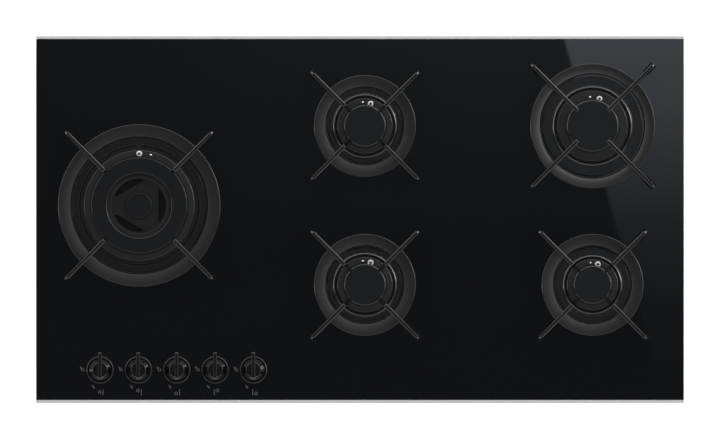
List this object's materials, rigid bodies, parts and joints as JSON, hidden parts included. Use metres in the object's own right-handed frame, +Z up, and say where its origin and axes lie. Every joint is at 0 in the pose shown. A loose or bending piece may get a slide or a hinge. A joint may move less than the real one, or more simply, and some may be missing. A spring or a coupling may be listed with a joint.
{
  "type": "built-in gas cooktop",
  "caption": "Wide built-in gas cooktop: black glass top with a wok burner, smaller burners with cast pan supports, and lever knobs along the front left edge.",
  "frame": {"origin": "centre of the footprint, on the underside of the casing", "axes": "+X to the right seen by the cook, +Y to the rear, +Z up"},
  "size_m": [0.9, 0.51, 0.09],
  "materials": {
    "black_glass": "gloss",
    "brushed_trim": "brushed",
    "foam_seal": "matte foam",
    "galvanised_sheet": "satin zinc",
    "cup_enamel": "satin enamel",
    "crown_alloy": "satin, darkened",
    "cap_enamel": "matt black enamel",
    "support_enamel": "matt black enamel",
    "foot_rubber": "matte",
    "brass": "machined",
    "ceramic": "glazed ceramic",
    "probe_steel": "satin",
    "tap_alloy": "die cast",
    "bezel_black": "satin",
    "inner_plastic": "moulded",
    "pipe_steel": "zinc plated",
    "pipe_alloy": "drawn",
    "knob_black": "satin"
  },
  "bodies": {
    "hob": {"glass_top": "black_glass", "front_trim": "brushed_trim", "rear_trim": "brushed_trim", "worktop_seal": "foam_seal", "bottom_casing": "galvanised_sheet", "burner_cups": "cup_enamel", "burner_crowns": "crown_alloy", "burner_brackets": "galvanised_sheet", "injectors": "brass", "spark_electrodes": "ceramic", "flame_probes": "probe_steel", "gas_taps": "tap_alloy", "knob_bezels": "bezel_black", "ignition_switches": "inner_plastic", "gas_rail": "pipe_steel", "gas_inlet_union": "brass", "gas_pipes": "pipe_alloy", "fixing_clamps": "galvanised_sheet", "clamp_screws": "pipe_steel", "ignition_generator": "inner_plastic", "terminal_block": "inner_plastic", "cable_gland": "inner_plastic"},
    "tap_plug_1": {"tap_plug_1": "brass"},
    "knob_1": {"knob_1": "knob_black", "spindle_1": "pipe_steel"},
    "tap_plug_2": {"tap_plug_2": "brass"},
    "knob_2": {"knob_2": "knob_black", "spindle_2": "pipe_steel"},
    "tap_plug_3": {"tap_plug_3": "brass"},
    "knob_3": {"knob_3": "knob_black", "spindle_3": "pipe_steel"},
    "tap_plug_4": {"tap_plug_4": "brass"},
    "knob_4": {"knob_4": "knob_black", "spindle_4": "pipe_steel"},
    "tap_plug_5": {"tap_plug_5": "brass"},
    "knob_5": {"knob_5": "knob_black", "spindle_5": "pipe_steel"},
    "pan_support_wok": {"pan_support_wok": "support_enamel", "support_feet_wok": "foot_rubber"},
    "pan_support_centre_rear": {"pan_support_centre_rear": "support_enamel", "support_feet_centre_rear": "foot_rubber"},
    "pan_support_centre_front": {"pan_support_centre_front": "support_enamel", "support_feet_centre_front": "foot_rubber"},
    "pan_support_right_rear": {"pan_support_right_rear": "support_enamel", "support_feet_right_rear": "foot_rubber"},
    "pan_support_right_front": {"pan_support_right_front": "support_enamel", "support_feet_right_front": "foot_rubber"},
    "cap_centre_rear": {"cap_centre_rear": "cap_enamel"},
    "cap_centre_front": {"cap_centre_front": "cap_enamel"},
    "cap_right_rear": {"cap_right_rear": "cap_enamel"},
    "cap_right_front": {"cap_right_front": "cap_enamel"},
    "cap_wok_outer": {"cap_wok_outer": "cap_enamel"},
    "cap_wok_centre": {"cap_wok_centre": "cap_enamel"}
  },
  "joints": [
    {"name": "knob_1_turn", "type": "hinge", "parent": "hob", "child": "tap_plug_1", "pos_m": [-0.3611, -0.2088, 0.06], "axis": [0, 0, 1], "range_deg": [0, 160]},
    {"name": "knob_1_push", "type": "slide", "parent": "tap_plug_1", "child": "knob_1", "axis": [0, 0, -1], "range_m": [0, 0.003], "stiffness_N_per_m": 2000, "springref_m": -0.001},
    {"name": "knob_2_turn", "type": "hinge", "parent": "hob", "child": "tap_plug_2", "pos_m": [-0.3078, -0.2088, 0.06], "axis": [0, 0, 1], "range_deg": [0, 160]},
    {"name": "knob_2_push", "type": "slide", "parent": "tap_plug_2", "child": "knob_2", "axis": [0, 0, -1], "range_m": [0, 0.003], "stiffness_N_per_m": 2000, "springref_m": -0.001},
    {"name": "knob_3_turn", "type": "hinge", "parent": "hob", "child": "tap_plug_3", "pos_m": [-0.2545, -0.2088, 0.06], "axis": [0, 0, 1], "range_deg": [0, 160]},
    {"name": "knob_3_push", "type": "slide", "parent": "tap_plug_3", "child": "knob_3", "axis": [0, 0, -1], "range_m": [0, 0.003], "stiffness_N_per_m": 2000, "springref_m": -0.001},
    {"name": "knob_4_turn", "type": "hinge", "parent": "hob", "child": "tap_plug_4", "pos_m": [-0.2012, -0.2088, 0.06], "axis": [0, 0, 1], "range_deg": [0, 160]},
    {"name": "knob_4_push", "type": "slide", "parent": "tap_plug_4", "child": "knob_4", "axis": [0, 0, -1], "range_m": [0, 0.003], "stiffness_N_per_m": 2000, "springref_m": -0.001},
    {"name": "knob_5_turn", "type": "hinge", "parent": "hob", "child": "tap_plug_5", "pos_m": [-0.1479, -0.2088, 0.06], "axis": [0, 0, 1], "range_deg": [0, 160]},
    {"name": "knob_5_push", "type": "slide", "parent": "tap_plug_5", "child": "knob_5", "axis": [0, 0, -1], "range_m": [0, 0.003], "stiffness_N_per_m": 2000, "springref_m": -0.001},
    {"name": "pan_support_wok_lift", "type": "slide", "parent": "hob", "child": "pan_support_wok", "axis": [0, 0, 1], "range_m": [0, 0.06]},
    {"name": "pan_support_centre_rear_lift", "type": "slide", "parent": "hob", "child": "pan_support_centre_rear", "axis": [0, 0, 1], "range_m": [0, 0.06]},
    {"name": "pan_support_centre_front_lift", "type": "slide", "parent": "hob", "child": "pan_support_centre_front", "axis": [0, 0, 1], "range_m": [0, 0.06]},
    {"name": "pan_support_right_rear_lift", "type": "slide", "parent": "hob", "child": "pan_support_right_rear", "axis": [0, 0, 1], "range_m": [0, 0.06]},
    {"name": "pan_support_right_front_lift", "type": "slide", "parent": "hob", "child": "pan_support_right_front", "axis": [0, 0, 1], "range_m": [0, 0.06]},
    {"name": "cap_centre_rear_lift", "type": "slide", "parent": "hob", "child": "cap_centre_rear", "axis": [0, 0, 1], "range_m": [0, 0.03]},
    {"name": "cap_centre_front_lift", "type": "slide", "parent": "hob", "child": "cap_centre_front", "axis": [0, 0, 1], "range_m": [0, 0.03]},
    {"name": "cap_right_rear_lift", "type": "slide", "parent": "hob", "child": "cap_right_rear", "axis": [0, 0, 1], "range_m": [0, 0.005]},
    {"name": "cap_right_front_lift", "type": "slide", "parent": "hob", "child": "cap_right_front", "axis": [0, 0, 1], "range_m": [0, 0.03]},
    {"name": "cap_wok_outer_lift", "type": "slide", "parent": "hob", "child": "cap_wok_outer", "axis": [0, 0, 1], "range_m": [0, 0.03]},
    {"name": "cap_wok_centre_lift", "type": "slide", "parent": "hob", "child": "cap_wok_centre", "axis": [0, 0, 1], "range_m": [0, 0.03]}
  ]
}
